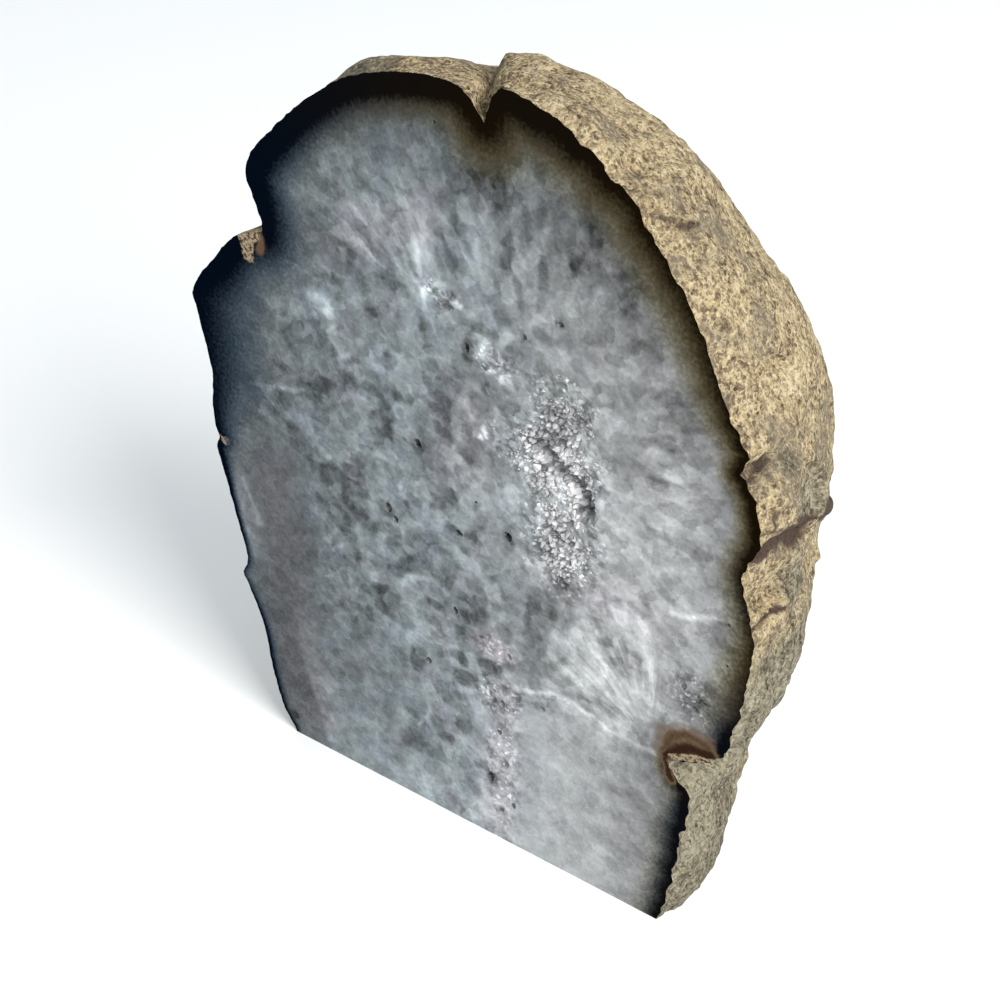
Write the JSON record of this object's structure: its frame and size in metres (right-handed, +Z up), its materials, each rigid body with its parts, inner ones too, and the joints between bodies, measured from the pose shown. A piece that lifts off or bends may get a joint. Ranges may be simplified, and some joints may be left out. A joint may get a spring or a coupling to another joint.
{
  "type": "polished agate",
  "caption": "Half of an agate nodule with a polished grey quartz face, a crystal hollow and a tan domed rind, standing upright on a sawn flat base.",
  "frame": {"origin": "middle of the bounding box at the sawn base", "axes": "+Z up from the base, the polished face looks towards -Y and the domed rind towards +Y, +X to the right of the polished face"},
  "size_m": [0.078, 0.0352, 0.1],
  "materials": {
    "agate": "polished grey quartz face with a dark banded rim, and a rough sandy tan rind behind",
    "quartz": "small clear to white crystal faces"
  },
  "bodies": {
    "root": {"agate_stone": "agate", "druse_crystals": "quartz"}
  },
  "joints": []
}
